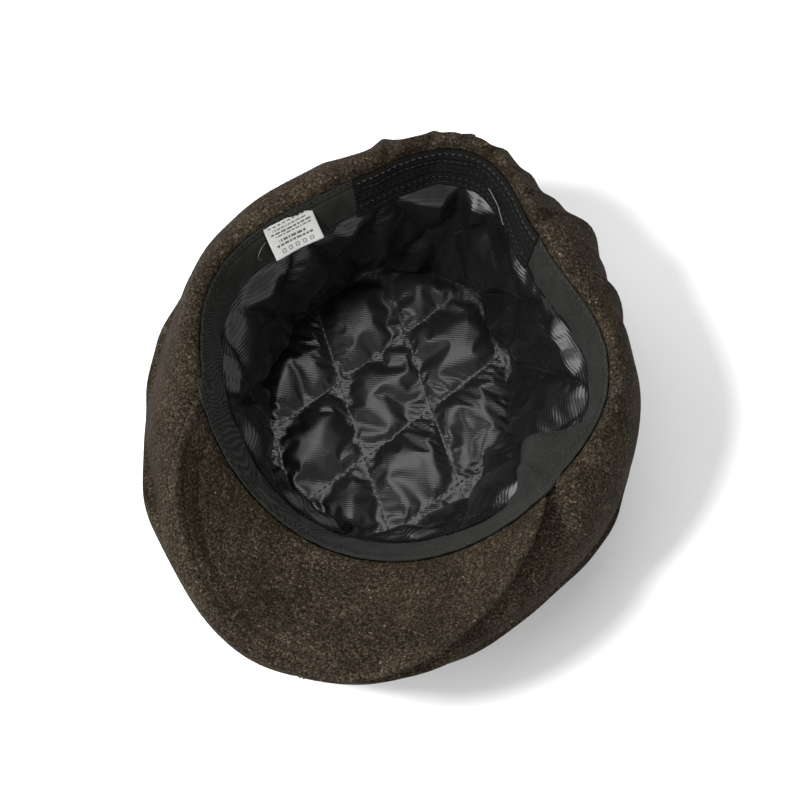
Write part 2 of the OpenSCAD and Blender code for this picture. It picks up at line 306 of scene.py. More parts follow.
def bump(height, distance, strength=1.0, normal=None):
    inputs = {"Height": height, "Distance": distance, "Strength": strength}
    if normal is not None:
        inputs["Normal"] = normal
    return height.node("Bump", {}, inputs)


# Felted melange wool: fibres of three browns lying every way, over a slow change of tone.
def woolLook(place):
    fibreA = noise(stretched(place, (500, 1500, 900), (0, 0, 0.5)), 1.0, 2.0, 0.6)
    fibreB = noise(stretched(place, (1500, 500, 1000), (0.4, 0, -0.3)), 1.0, 2.0, 0.6)
    grain = noise(place, 1100, 3.0, 0.7)
    cloud = noise(place, 55, 3.0, 0.6)
    speck = noise(place, 620, 1.0, 0.5)
    tone = (fibreA - 0.5) * 0.7 + (fibreB - 0.5) * 0.7 + (grain - 0.5) * 0.7 + (cloud - 0.5) * 0.3 + 0.5
    colour = tone.node("ValToRGB", {"stops": [
        (0.28, (0.006, 0.0042, 0.0026)), (0.46, (0.016, 0.0120, 0.0080)),
        (0.60, (0.032, 0.0248, 0.0170)), (0.78, (0.085, 0.069, 0.051))]}, {0: tone})
    fleck = speck.range(0.70, 0.78)
    colour = fleck.mixColour(colour, (0.12, 0.098, 0.074, 1))
    height = fibreA * 0.5 + fibreB * 0.5 + grain * 0.6
    felt = noise(place, 260, 3.0, 0.6)
    return {"Base Color": colour, "Roughness": cloud.range(0.3, 0.7, 0.86, 0.97),
            "Normal": bump(height, 0.0007, 0.75, bump(felt, 0.0012, 0.5))}


# Black satin with a fine cross rib, which breaks its highlights into lines.
def satinLook(place, bands="Y", relief=0.00005, base=0.010):
    ribs = place.node("TexWave", {"wave_type": "BANDS", "bands_direction": bands, "wave_profile": "SIN"},
                      {"Vector": stretched(place, (1, 1, 1), (0, 0, -0.22)), "Scale": 290.0,
                       "Distortion": 0.6, "Detail": 1.0, "Detail Scale": 3.0})
    crush = noise(place, 120, 3.0, 0.6)
    tone = noise(place, 40, 2.0, 0.5)
    colour = tone.mixColour((base * 0.5, base * 0.5, base * 0.5, 1), (base, base, base * 0.97, 1))
    return {"Base Color": colour, "Roughness": crush.range(0.3, 0.75, 0.20, 0.34),
            "Normal": bump(ribs, relief, 0.6, bump(crush, 0.0004, 0.12))}


def twillLook(place):
    lines = place.node("TexWave", {"wave_type": "BANDS", "bands_direction": "DIAGONAL"},
                       {"Vector": place, "Scale": 520.0, "Distortion": 1.5, "Detail": 2.0,
                        "Detail Scale": 4.0})
    lint = noise(place, 1300, 2.0, 0.6)
    cloud = noise(place, 90, 3.0, 0.6)
    tone = lines * 0.30 + lint * 0.45 + cloud * 0.25
    colour = tone.node("ValToRGB", {"stops": [
        (0.30, (0.0035, 0.0035, 0.0032)), (0.50, (0.0088, 0.0090, 0.0080)), (0.72, (0.032, 0.033, 0.029))]},
        {0: tone})
    return {"Base Color": colour, "Roughness": cloud.range(0.3, 0.7, 0.72, 0.88),
            "Normal": bump(lines * 0.6 + lint * 0.5, 0.00025, 0.6)}


def elasticLook(place):
    knit = noise(stretched(place, (1500, 1500, 2400)), 1.0, 2.0, 0.6)
    cloud = noise(place, 120, 2.0, 0.5)
    tone = knit * 0.6 + cloud * 0.4
    colour = tone.mixColour((0.0012, 0.0012, 0.0011, 1), (0.0055, 0.0055, 0.005, 1))
    return {"Base Color": colour, "Roughness": cloud.range(0.3, 0.7, 0.6, 0.8),
            "Normal": bump(knit, 0.0003, 0.6)}


def threadLook(place):
    twist = noise(stretched(place, (1800, 1800, 1800)), 1.0, 1.0, 0.5)
    return {"Base Color": twist.mixColour((0.006, 0.006, 0.006, 1), (0.02, 0.02, 0.021, 1)),
            "Roughness": twist.range(0.2, 0.8, 0.45, 0.65), "Normal": bump(twist, 0.0001, 0.4)}


# The label's white is greyed to 0.29 to 0.42, darker than the white cloth really is: painted shade.
def labelLook(place):
    weave = noise(stretched(place, (2600, 2600, 900)), 1.0, 2.0, 0.6)
    cloud = noise(place, 160, 2.0, 0.5)
    tone = weave * 0.6 + cloud * 0.4
    return {"Base Color": tone.mixColour((0.29, 0.285, 0.275, 1), (0.42, 0.415, 0.40, 1)),
            "Roughness": cloud.range(0.3, 0.7, 0.42, 0.58), "Normal": bump(weave, 0.00008, 0.5)}


def inkLook(place):
    weave = noise(place, 2200, 2.0, 0.6)
    return {"Base Color": weave.mixColour((0.02, 0.02, 0.022, 1), (0.10, 0.10, 0.105, 1)),
            "Roughness": weave.range(0.3, 0.7, 0.6, 0.8)}


def paleLook(place):
    lump = noise(place, 300, 4.0, 0.6)
    return {"Base Color": lump.mixColour((0.55, 0.54, 0.51, 1), (0.82, 0.81, 0.78, 1)),
            "Roughness": lump.range(0.3, 0.7, 0.8, 0.95), "Normal": bump(lump, 0.0008, 0.6)}


print("materials")
woolCloth = newMaterial("melangeWool", {"Specular IOR Level": 0.04}, woolLook)
satinCloth = newMaterial("blackSatin", {"Specular IOR Level": 0.75}, satinLook)
# The wall's copy of the satin has a darker base (0.007 against 0.010 on the top): painted shade for the walls
# inside the crown.
shadedWallSatin = newMaterial("blackSatinWallShaded", {"Specular IOR Level": 0.75},
                        lambda place: satinLook(place, "Z", 0.00008, 0.007))
twillTape = newMaterial("twillTape", {"Specular IOR Level": 0.2, "Sheen Weight": 0.03}, twillLook)
elasticWeb = newMaterial("elasticWebbing", {"Specular IOR Level": 0.15}, elasticLook)
woolFibre = newMaterial("woolFibre", {"Roughness": 0.9, "Specular IOR Level": 0.15}, lambda place: {
    "Base Color": noise(place, 900).range(0.35, 0.65).mixColour((0.020, 0.016, 0.012, 1),
                                                                (0.13, 0.107, 0.086, 1))})
blackThread = newMaterial("blackThread", {"Specular IOR Level": 0.5}, threadLook)
greyThread = newMaterial("greyThread", {}, lambda place: {
    "Base Color": noise(place, 700).mixColour((0.05, 0.048, 0.043, 1), (0.17, 0.16, 0.145, 1))})
brownThread = newMaterial("brownThread", {}, lambda place: {
    "Base Color": noise(place, 700).mixColour((0.012, 0.009, 0.007, 1), (0.03, 0.024, 0.019, 1))})
shadedLabelSatin = newMaterial("shadedLabelSatin", {"Sheen Weight": 0.2}, labelLook)
labelInk = newMaterial("labelInk", {}, inkLook)
rimThread = newMaterial("rimThread", {}, lambda place: {
    "Base Color": noise(place, 900, 1.0, 0.5).mixColour((0.018, 0.017, 0.015, 1), (0.045, 0.042, 0.037, 1))})
paleStuffing = newMaterial("paleStuffing", {}, paleLook)
paleBoard = newMaterial("paleBoard", {"Specular IOR Level": 0.3}, lambda place: {
    "Base Color": noise(place, 500, 3.0, 0.5).mixColour((0.50, 0.47, 0.40, 1), (0.60, 0.57, 0.49, 1)),
    "Roughness": noise(place, 60, 2.0, 0.5).range(0.3, 0.7, 0.45, 0.6)})
greyInterlining = newMaterial("greyInterlining", {}, lambda place: {
    "Base Color": noise(place, 1400, 3.0, 0.7).mixColour((0.22, 0.22, 0.22, 1), (0.38, 0.38, 0.37, 1)),
    "Roughness": noise(place, 200, 2.0, 0.5).range(0.3, 0.7, 0.75, 0.9)})


# ---- camera, light and floor ----

camera = dict(azimuth=17, elevation=66, distance=1.0, pixel=0.43 * mm, aimX=-0.2 * mm, aimY=-11.6 * mm,
              aimZ=48.9 * mm)


def addCamera():
    a, e = np.radians(camera["azimuth"]), np.radians(camera["elevation"])
    back = Vector((np.sin(a) * np.cos(e), -np.cos(a) * np.cos(e), np.sin(e)))
    data = bpy.data.cameras.new("camera")
    data.sensor_width = 36
    data.lens = 36 * camera["distance"] / camera["pixel"] / 800
    data.clip_start, data.clip_end = 0.01, 20
    eye = bpy.data.objects.new("camera", data)
    aim = Vector((camera["aimX"], axisY + camera["aimY"], camera["aimZ"]))
    eye.location = aim + back * camera["distance"]
    eye.rotation_mode = "QUATERNION"
    eye.rotation_quaternion = (-back).to_track_quat("-Z", "Y")
    bpy.context.scene.collection.objects.link(eye)
    bpy.context.scene.camera = eye


# Each lamp: its name, place, size, power, and whether it shows in reflections.
lamps = [("key", (-0.70, -0.58, 1.45), 0.30, 31, False), ("overhead", (-0.20, 0.60, 1.40), 1.3, 7.5, True),
         ("window", (-1.25, 0.50, 0.80), 0.9, 6, True), ("softbox", (-0.98, -0.85, 0.85), 1.1, 10, True),
         ("fill", (0.75, -0.85, 0.90), 1.2, 8, False)]


def addLight(name, where, size, power, glossy):
    data = bpy.data.lights.new(name, "AREA")
    data.shape, data.size, data.energy = "DISK", size, power
    lamp = bpy.data.objects.new(name, data)
    lamp.location, lamp.visible_glossy = where, glossy
    lamp.rotation_mode = "QUATERNION"
    lamp.rotation_quaternion = (Vector((0, 0, 30 * mm)) - Vector(where)).to_track_quat("-Z", "Y")
    bpy.context.scene.collection.objects.link(lamp)


def addFloor():
    t = np.linspace(-1, 1, 3)
    x, y = np.meshgrid(t, t, indexing="ij")
    mesh = bpy.data.meshes.new("floor")
    verts = np.stack([x * 6, y * 6, 0 * x - 0.0002], -1).reshape(-1, 3)
    mesh.from_pydata(verts, [], gridFaces(3, 3, flip=True).tolist())
    floor = bpy.data.objects.new("floor", mesh)
    bpy.context.scene.collection.objects.link(floor)
    paper = newMaterial("whitePaper", {"Roughness": 0.9, "Specular IOR Level": 0.1}, lambda place: {
        "Base Color": noise(place, 3.0).mixColour((0.86, 0.86, 0.86, 1), (0.88, 0.88, 0.88, 1))})
    mesh.materials.append(paper)


# A room that is bright low down and dim overhead, so that the satin has something dark to reflect.
def addWorld():
    world = bpy.data.worlds.new("studio")
    bpy.context.scene.world = world
    world.use_nodes = True
    tree = world.node_tree
    backdrop = tree.nodes["Background"]
    height = Wire(tree).node("SeparateXYZ", {}, {0: Wire(tree).node("TexCoord", out=0)}, out=2)
    level = height.range(0.1, 0.9, 0.85, 0.24)
    tree.links.new(level.socket, backdrop.inputs[1])
    backdrop.inputs[0].default_value = (1, 1, 1, 1)


print("camera and lights")
addCamera()
addFloor()
for lamp in lamps:
    addLight(*lamp)
addWorld()
bpy.context.scene.view_settings.view_transform = "Standard"


# ---- wool crown ----

# Each gather: angle round the cap, depth, width in degrees, how far down it runs, and its slant.
gathers = [(-141, 2.2, 2.2, 110, 4), (-157, 7.0, 1.9, 150, 2), (-170, 4.4, 1.6, 120, 1),
           (-179, 3.4, 1.4, 110, 0), (172, 3.8, 1.4, 110, -2), (164, 3.4, 1.3, 110, -3),
           (156, 4.0, 1.5, 120, -5), (147, 5.0, 1.6, 130, -6), (138, 3.0, 1.6, 120, -8),
           (127, 3.6, 1.9, 130, -10), (115, 2.4, 2.1, 115, -10)]


# Distance that the gathers push the wool in (valleys) and out (the lobes between them), in metres.
def gatherHeight(a, s):
    down = np.clip(s, 0, 180)
    valleys = np.zeros(np.broadcast(a, s).shape)
    for angle, depth, width, reach, slant in gathers:
        off = (a - angle - slant * down / 90 + 180) % 360 - 180
        fade = 1 - smooth(down / reach)
        spread = width * (1 + 1.2 * down / 90)
        valleys += depth * mm * fade * np.exp(-(np.abs(off) / spread) ** 1.4)
    lobes = 4.6 * mm * smooth((foldAngle(a) - 122) / 26) * (1 - smooth(down / 130))
    return (lobes - valleys) * smooth((s + 70) / 70)


# Outer face of the wool. s runs from below 0, inside the rolled rim, over the rim at 0, out to
# the fullest line at 90 and under to the flat of the crown at 180.
def woolSurface(a, s):
    a, s = np.broadcast_arrays(np.asarray(a, float), np.asarray(s, float))
    r0, rf = rimRadius(a) + 0.3 * mm, fullRadius(a)
    z0 = nearVisor(a, -5 * mm)
    zf = cap["fullHeight"] + cap["fullRise"] * cosD(a) ** 2
    flatR, half = cap["flatShare"] * rf, wool["thick"] / 2
    roll, top, low = np.minimum(s, 0), np.clip(s, 0, 90), np.maximum(s, 90) - 90
    r = r0 + (rf - r0) * sinD(top) + wool["roll"] * sinD(roll)
    z = zf + (z0 - zf) * cosD(top) - wool["roll"] * (1 - cosD(roll))
    under = s > 90
    r = np.where(under, flatR + (rf - flatR) * cosD(low), r)
    z = np.where(under, half + (zf - half) * (1 - sinD(low)), z)
    tr = np.where(s < 0, wool["roll"] * cosD(roll), (rf - r0) * cosD(top))
    tz = np.where(s < 0, -wool["roll"] * sinD(roll), (z0 - zf) * sinD(top))
    tr = np.where(under, -(rf - flatR) * sinD(low), tr)
    tz = np.where(under, -(zf - half) * cosD(low), tz)
    length = np.hypot(tr, tz) + 1e-9
    nr, nz = -tz / length, tr / length
    lift = half + gatherHeight(a, s)
    for seam in (0, 180):
        off = r * np.radians((a - seam + 180) % 360 - 180)
        lift = lift - 1.1 * mm * bell(off, 1.3 * mm) * smooth((s + 60) / 60)
    slope = np.hypot(rf - flatR, zf) * np.pi / 180
    lift = lift - 1.0 * mm * bell((s - wool["panelSeamAt"]) * slope, 1.4 * mm)
    base = place(a, r, z)
    slump = waves(base, 75 * mm, 3) * 1.1 * mm + waves(base, 32 * mm, 4) * 0.35 * mm
    lift = lift + slump * smooth(s / 45) * smooth((168 - s) / 30)
    return place(a, r + nr * lift, np.maximum(z + nz * lift, wool["shell"]))


def crownSide(name, start, end):
    a = np.linspace(start, end, 260)[:, None]
    s = np.concatenate([np.linspace(-115, -12, 10), np.linspace(0, 88, 44), np.linspace(90, 120, 14)])
    s = s[None, :]
    verts = woolSurface(a, s)
    piece = makeObject(name, verts, gridFaces(260, s.size), woolCloth, None)
    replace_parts(piece, name.replace("Wool", ""))
    return thicken(piece, wool["shell"])


def crownTop():
    a = np.linspace(-180, 180, 361)[:-1][:, None]
    s = np.linspace(120, 180, 26)[None, :]
    rim = woolSurface(a, s)
    shrink = np.array([0.8, 0.6, 0.4, 0.2])[None, :]
    flat = place(a, cap["flatShare"] * fullRadius(a) * shrink, np.full((1, 1), wool["shell"]))
    rings = np.concatenate([rim, flat], 1)
    middle = place(np.zeros(1), np.zeros(1), np.full(1, wool["shell"]))
    verts = np.concatenate([rings.reshape(-1, 3), middle])
    cols = rings.shape[1]
    centre = 360 * cols
    faces = gridFaces(361, cols)
    faces = np.where(faces >= centre, faces - centre, faces).tolist()
    hub = [[k * cols + cols - 1, ((k + 1) % 360) * cols + cols - 1, centre] for k in range(360)]
    piece = makeObject("crown_top_panelWool", verts, faces + hub, woolCloth, None)
    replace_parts(piece, "crown_top_panel")
    return thicken(piece, wool["shell"])


print("wool crown")
crownPieces = [crownSide("crown_side_leftWool", -180, 0), crownSide("crown_side_rightWool", 0, 180),
               crownTop()]


# ---- visor ----

edge = dict(roll=3.4 * mm, valleyAt=4.6 * mm, valley=0.35 * mm, stitchAt=10 * mm, stitchDip=0.75 * mm)


# One face of the visor: u runs -1 to 1 across, v from the seam to the outer edge. side is 1 for
# the face that shows and -1 for the one beneath.
def visorFace(u, v, side):
    aSeat = u * visorCorner
    seatEnd = seatFront - visor["underBand"]
    seatR = polarEllipse(aSeat, seatHalfW - visor["underBand"], seatEnd, seatEnd)
    seatX, seatF = seatR * sinD(aSeat), seatR * cosD(aSeat)
    cornerTurn = np.degrees(np.arccos((cornerFront - visor["wide"]) / visor["reach"]))
    t = u * cornerTurn
    outX = visor["halfW"] * sinD(t)
    outF = visor["wide"] + visor["reach"] * cosD(t)
    x, front = seatX + (outX - seatX) * v, seatF + (outF - seatF) * v
    span = np.hypot(outX - seatX, outF - seatF)
    ellipse = np.hypot(x / visor["halfW"], (front - visor["wide"]) / visor["reach"])
    fromEdge = (1 - ellipse) * visor["halfW"] * 1.05
    inset = np.where(front > visor["wide"], fromEdge, visor["halfW"] - np.abs(x))
    inset = np.maximum(np.minimum(inset, (1 - v) * span), 0)
    full = visor["halfStack"] * np.sqrt(np.clip(1 - (1 - np.clip(inset / edge["roll"], 0, 1)) ** 2, 0, 1))
    dips = edge["valley"] * bell(inset - edge["valleyAt"], 1.3 * mm)
    dips = dips + edge["stitchDip"] * bell(inset - edge["stitchAt"], 1.7 * mm)
    seam = 0.9 * mm * bell(v * span, 1.6 * mm)
    lift = full - dips - seam
    soft = waves(np.stack([x, front, 0 * x], -1), 40 * mm, 8) * 0.25 * mm * smooth(inset / (6 * mm))
    return np.stack([x, axisY - front, visorHeight(x, front, side * (lift + soft))], -1)


def visorCover(name, side):
    u = np.sin(np.linspace(-np.pi / 2, np.pi / 2, 220))[:, None]
    v = (1 - (1 - np.linspace(0, 1, 110)) ** 1.5)[None, :]
    verts = visorFace(u, v, side)
    piece = makeObject(name + "Wool", verts, gridFaces(220, 110, flip=side < 0), woolCloth, "visor")
    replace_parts(piece, name)
    return thicken(piece, 1.1 * mm)


# The topstitching follows the visor's edge at an even distance, on both faces.
def topstitchRow(side, lift):
    t = np.linspace(-76, 76, 400)
    x = (visor["halfW"] - edge["stitchAt"]) * sinD(t)
    front = visor["wide"] + (visor["reach"] - edge["stitchAt"]) * cosD(t)
    height = lambda extra: visorHeight(x, front, side * (visor["halfStack"] + extra))
    at = lambda extra: np.stack([x, axisY - front, height(extra)], -1)
    return at(lift), unit(at(lift + 1 * mm) - at(lift))


print("visor")
visorCover("visor_under_cover", 1)
visorCover("visor_top_cover", -1)
topstitches = stitchMesh("visorTopstitches", [topstitchRow(1, -0.95 * mm), topstitchRow(-1, -0.95 * mm)],
                         brownThread, "visor")
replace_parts(topstitches, "visor_topstitching")


# ---- loose fibres on the wool ----

fuzz = dict(onCrown=15000, onVisor=6000, width=0.035 * mm, shortest=0.5 * mm, longest=1.7 * mm)


# Thin curved ribbons of fibre that stand up out of surface(a, b) at random places.
def fuzzMesh(name, surface, a, b, body, seed):
    rng = np.random.default_rng(seed)
    points, normals = rowOn(surface, a, b)
    count = len(a)
    lean = unit(normals * rng.uniform(0.15, 0.8, (count, 1)) + unit(rng.normal(size=(count, 3))) * 0.8)
    lean = np.where(np.sum(lean * normals, 1, keepdims=True) < 0, lean - 1.6 * normals *
                    np.sum(lean * normals, 1, keepdims=True), lean)
    bend = unit(rng.normal(size=(count, 3))) * 0.35
    aside = unit(np.cross(lean, rng.normal(size=(count, 3))))
    length = rng.uniform(fuzz["shortest"], fuzz["longest"], (count, 1)) * rng.uniform(0.5, 1, (count, 1))
    rings = []
    for t, wide in ((0.0, 1.0), (0.5, 0.8), (1.0, 0.3)):
        middle = points + (lean * t + bend * t * t) * length - normals * 0.1 * mm
        rings += [middle - aside * fuzz["width"] * wide, middle + aside * fuzz["width"] * wide]
    verts = np.stack(rings, 1)
    one = np.array([[0, 1, 3, 2], [2, 3, 5, 4]])
    faces = (one[None] + np.arange(count)[:, None, None] * 6).reshape(-1, 4)
    return makeObject(name, verts, faces, woolFibre, body)


print("fibres")
rng = np.random.default_rng(31)
crownFuzz = fuzzMesh("crownFibres", woolSurface, rng.uniform(-180, 180, fuzz["onCrown"]),
                     rng.uniform(-40, 135, fuzz["onCrown"]), None, 32)
fuzzMesh("visorFibres", lambda u, v: visorFace(u, v, 1), rng.uniform(-0.99, 0.99, fuzz["onVisor"]),
         1 - rng.uniform(0, 0.97, fuzz["onVisor"]) ** 1.5, "visor", 33)


# ---- sweatband and elastic ----

# A point on the band's face: w runs 0 to 1 down its width, lift stands off its face towards the head.
def bandPoint(a, w, lift=0.0):
    a, w = np.broadcast_arrays(np.asarray(a, float), np.asarray(w, float))
    cosine = cosD(a)
    tilt = 24 + 12 * np.maximum(0, cosine) ** 2 - 6 * np.maximum(0, -cosine) ** 2
    free = smooth((foldAngle(a) - visorCorner - 2) / 8)   # away from the visor the rim stands over the band
    inward = cap["bandThick"] + 2.4 * mm * free * (1 - w) ** 1.5 + lift
    r = rimRadius(a) - inward - w * cap["bandWidth"] * sinD(tilt)
    z = rimHeight(a) + 0.6 * mm - w * cap["bandWidth"] * cosD(tilt)
    return r, z


def bandWave(a, w):
    p = np.stack([np.radians(a) * 80 * mm, w * 20 * mm, 0 * a], -1)
    return waves(p, 17 * mm, 11) * 0.35 * mm * smooth(w * 2) + waves(p, 7 * mm, 12) * 0.12 * mm


# The twill tape bunches where the right side meets the front piece, at the visor's corner.
def bunch(a, w):
    lower = smooth((w - 0.15) / 0.6)
    return (15.0 * mm * bell(a - 67, 10) + 2.5 * mm * bell(a - 57, 2.0)) * lower


# How far down the tape it is pressed in, as shares of its width. The front piece is sewn along all
# three dents, and the sides along the first and last. The right side has one more row, off the dents.
tapeDents, rightRow = (0.15, 0.26, 0.92), 0.30


# The twill tape's face, with its dents.
def tapeFace(a, down):
    a, down = np.broadcast_arrays(np.asarray(a, float), np.asarray(down, float))
    swell = bunch(a, down)
    lift = bandWave(a, down) + swell
    for row in tapeDents:
        lift = lift - 0.55 * mm * bell(down - row, 0.03)
    r, z = bandPoint(a, down, lift)
    return place(a, r, z + 0.55 * swell)


# The elastic's face: raised ribs along it, and fine puckers across them.
def elasticFace(a, down):
    a, down = np.broadcast_arrays(np.asarray(a, float), np.asarray(down, float))
    pucker = np.sin(np.radians(a) * 80 * mm / (2.1 * mm) * 2 * np.pi) * 0.06 * mm
    lift = 1.0 * mm * np.abs(np.sin(down * elastic["ribs"] * np.pi)) ** 1.5 + pucker + bandWave(a, down)
    r, z = bandPoint(a, down, lift)
    return place(a, r, z)


def bandPiece(name, start, end, material, face=tapeFace, top=0.10, fine=2.2):
    count = int((end - start) * fine)
    a = np.linspace(start, end, count)[:, None]
    down = np.linspace(top, 1, 60)[None, :]
    body = "cap" if name == "back_elastic" else None
    piece = makeObject(name + "Tape", face(a, down), gridFaces(count, 60, flip=True), material, body)
    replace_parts(piece, name)
    return thicken(piece, 0.8 * mm)


elastic = dict(ribs=9, rimRow=0.16, rows=(0.36, 0.55, 0.73, 0.9))


print("sweatband")
bandEnd = visorCorner + 3
elasticFrom = 180 - cap["elasticHalfSpan"]
bands = [bandPiece("sweatband_front", -bandEnd, bandEnd, twillTape, top=0.0),
         bandPiece("sweatband_left", -elasticFrom, -bandEnd, twillTape),
         bandPiece("sweatband_right", bandEnd, elasticFrom, twillTape)]
bandPiece("back_elastic", elasticFrom, 360 - elasticFrom, elasticWeb, elasticFace, fine=5)


def bandRow(start, end, down, face=tapeFace):
    a = np.linspace(start, end, 400)
    return rowOn(face, a, np.full(400, down))


bands.append(stitchMesh("frontBandStitches", [bandRow(-bandEnd, bandEnd, w) for w in tapeDents],
                        blackThread, None))
upperRows = [bandRow(-elasticFrom, -bandEnd, tapeDents[0]), bandRow(bandEnd, elasticFrom, tapeDents[0]),
             bandRow(elasticFrom, 360 - elasticFrom, elastic["rimRow"], elasticFace)]
lowerRows = [bandRow(-elasticFrom, -bandEnd, tapeDents[-1]), bandRow(bandEnd, elasticFrom, tapeDents[-1]),
             bandRow(bandEnd, elasticFrom, rightRow)]
lowerRows += [bandRow(elasticFrom, 360 - elasticFrom, w, elasticFace) for w in elastic["rows"]]
bands += [stitchMesh("rimStitches", upperRows, rimThread, None),
          stitchMesh("bandStitches", lowerRows, blackThread, None)]
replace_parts(bands[-2], "rim_stitching")
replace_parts(bands[-1], "sweatband_stitching")


# ---- quilted lining ----

quilt = dict(across=43 * mm, along=64 * mm, knotX=10.5 * mm, knotY=4.0 * mm, wallKnot=162, line=0.55 * mm,
             slack=0.025, pressure=0.45, bend=2.0, frames=30, simScale=12.0, dome=1.7 * mm, crease=1.5 * mm,
             wallSlack=0.012, wallArc=70 * mm, wallFoot=16 * mm, leanShare=0.85, limit=7 * mm)


# Distance to the nearest quilting line, for two sets of lines that cross in a lattice of rhombs.
def quiltDistance(p, q):
    one = p / quilt["across"] + q / quilt["along"]
    two = p / quilt["across"] - q / quilt["along"]
    slant = 1 / np.hypot(1 / quilt["across"], 1 / quilt["along"])
    away = lambda t: np.abs(t - np.round(t)) * slant
    return np.minimum(away(one), away(two))


# A smooth dome over each cell, 0 on its lines and 1 in its middle.
def quiltDome(p, q):
    one = p / quilt["across"] + q / quilt["along"]
    two = p / quilt["across"] - q / quilt["along"]
    return np.sqrt(np.abs(np.sin(np.pi * one) * np.sin(np.pi * two)) + 1e-9)


# Square grid mapped onto a disc, so that the cloth has no pole.
def squareToDisc(x, y):
    first = np.abs(x) > np.abs(y)
    safeX, safeY = np.where(x == 0, 1e-9, x), np.where(y == 0, 1e-9, y)
    r = np.where(first, x, y)
    t = np.where(first, np.pi / 4 * y / safeX, np.pi / 2 - np.pi / 4 * x / safeY)
    return r * np.cos(t), r * np.sin(t)


def tipRadius(a):
    return polarEllipse(a, cap["tipHalfW"], cap["tipHalfL"], cap["tipHalfL"])


def tipGrid(n, drop=0.0):
    t = np.linspace(-1, 1, n)
    x, y = squareToDisc(*np.meshgrid(t, t, indexing="ij"))
    rho = np.hypot(x, y)
    a = np.degrees(np.arctan2(x, -y))
    r = tipRadius(a) * rho
    z = cap["tipHeight"] - cap["tipSink"] * np.sin(np.pi / 2 * (1 - rho)) - drop
    return a, r, z, rho


def wallPoint(a, t):
    topR, topZ = bandPoint(a, np.ones_like(t), -1.2 * mm)
    topZ = topZ + 3.0 * mm
    lowR, lowZ = tipRadius(a), cap["tipHeight"]
    sag = np.clip(1 - t, 0, 1) ** 1.9
    r = lowR + (topR - lowR) * sag + 1.0 * mm * np.sin(np.pi * t)
    return r, topZ + (lowZ - topZ) * t


# The satin is held along its stitches and seams, is cut a little larger than the space, and a light
# pressure lifts it: cloth simulation then finds its puffs and creases.
def simulate(piece, pinned, slack):
    mesh, scale = piece.data, quilt["simScale"]
    co = np.empty(len(mesh.vertices) * 3, np.float32)
    mesh.vertices.foreach_get("co", co)
    mesh.vertices.foreach_set("co", co * scale)
    group = piece.vertex_groups.new(name="sewn")
    group.add(np.nonzero(pinned)[0].tolist(), 1.0, "REPLACE")
    cloth = piece.modifiers.new("Slack satin", "CLOTH")
    setup = cloth.settings
    setup.vertex_group_mass = "sewn"
    setup.quality = 6
    setup.mass = 0.3
    setup.tension_stiffness = setup.compression_stiffness = 15
    setup.shear_stiffness = 5
    setup.bending_stiffness = quilt["bend"]
    setup.air_damping = 2.0
    setup.shrink_min = -slack
    setup.use_pressure = True
    setup.uniform_pressure_force = quilt["pressure"]
    setup.effector_weights.gravity = 0
    cloth.collision_settings.use_collision = False
    cloth.point_cache.frame_start, cloth.point_cache.frame_end = 1, quilt["frames"]
    for step in range(1, quilt["frames"] + 1):
        bpy.context.scene.frame_set(step)
    shaped = piece.evaluated_get(bpy.context.evaluated_depsgraph_get())
    moved = np.empty(len(mesh.vertices) * 3, np.float32)
    shaped.data.vertices.foreach_get("co", moved)
    piece.modifiers.remove(cloth)
    piece.vertex_groups.remove(group)
    mesh.vertices.foreach_set("co", co)
    bpy.context.scene.frame_set(1)
    return moved.reshape(-1, 3).astype(float) / scale


def settle(piece, pinned, slack):
    start = np.empty(len(piece.data.vertices) * 3, np.float32)
    piece.data.vertices.foreach_get("co", start)
    start = start.reshape(-1, 3).astype(float)
    moved = simulate(piece, pinned, slack) - start
    far = np.linalg.norm(moved, axis=1, keepdims=True)
    moved *= np.minimum(1, quilt["limit"] / np.maximum(far, 1e-9))
    piece.data.vertices.foreach_set("co", (start + moved).astype(np.float32).ravel())
    piece.data.update()


def liningTop():
    n = 118
    a, r, z, rho = tipGrid(n)
    verts = place(a, r, z)
    x, y = r * sinD(a), -r * cosD(a)
    p, q = x - quilt["knotX"] - cap["lean"] * quilt["leanShare"], y - quilt["knotY"]
    puff, dome = quiltDistance(p, q), quiltDome(p, q)
    crease = quilt["crease"] * waves(np.stack([x, y * 0.22, 0 * x], -1), 13 * mm, 21)
    lift = (quilt["dome"] + crease) * dome * smooth((1 - rho) * tipRadius(a) / (10 * mm))
    verts[..., 2] += lift
    piece = makeObject("lining_topSatin", verts, gridFaces(n, n, flip=True), satinCloth)
    pinned = ((puff < quilt["line"]) | (rho > 0.999)).ravel()
    settle(piece, pinned, quilt["slack"])
    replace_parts(piece, "lining_top")
    return piece


def liningWall():
    rows, cols = 62, 400
    t = np.linspace(0, 1, rows)[:, None]
    a = np.linspace(-180, 180, cols + 1)[:-1][None, :]
    a, t = np.broadcast_arrays(a, t)
    r, z = wallPoint(a, t)
    arc, tall = np.radians(a - quilt["wallKnot"]) * quilt["wallArc"], z - quilt["wallFoot"]
    puff = quiltDistance(arc, tall)
    ends = np.minimum(t, 1 - t) * 60 * mm
    seam = np.radians(np.minimum(np.abs(a), 180 - np.abs(a))) * quilt["wallArc"]
    crease = quilt["crease"] * waves(np.stack([arc, tall * 0.3, 0 * arc], -1), 16 * mm, 22)
    hem = smooth(ends / (7 * mm)) * smooth(seam / (7 * mm))
    lift = (3.4 * quilt["dome"] + crease) * quiltDome(arc, tall) * hem
    verts = place(a, r - lift, z)
    piece = makeObject("liningWallSatin", verts, gridFaces(rows, cols, closed=True), shadedWallSatin, None)
    pinned = ((puff < quilt["line"]) | (t < 0.02) | (t > 0.999) | (seam < 0.6 * mm)).ravel()
    settle(piece, pinned, quilt["wallSlack"])
    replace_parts(piece, "lining_side_left", "lining_side_right")
    return piece


sideWadding = []


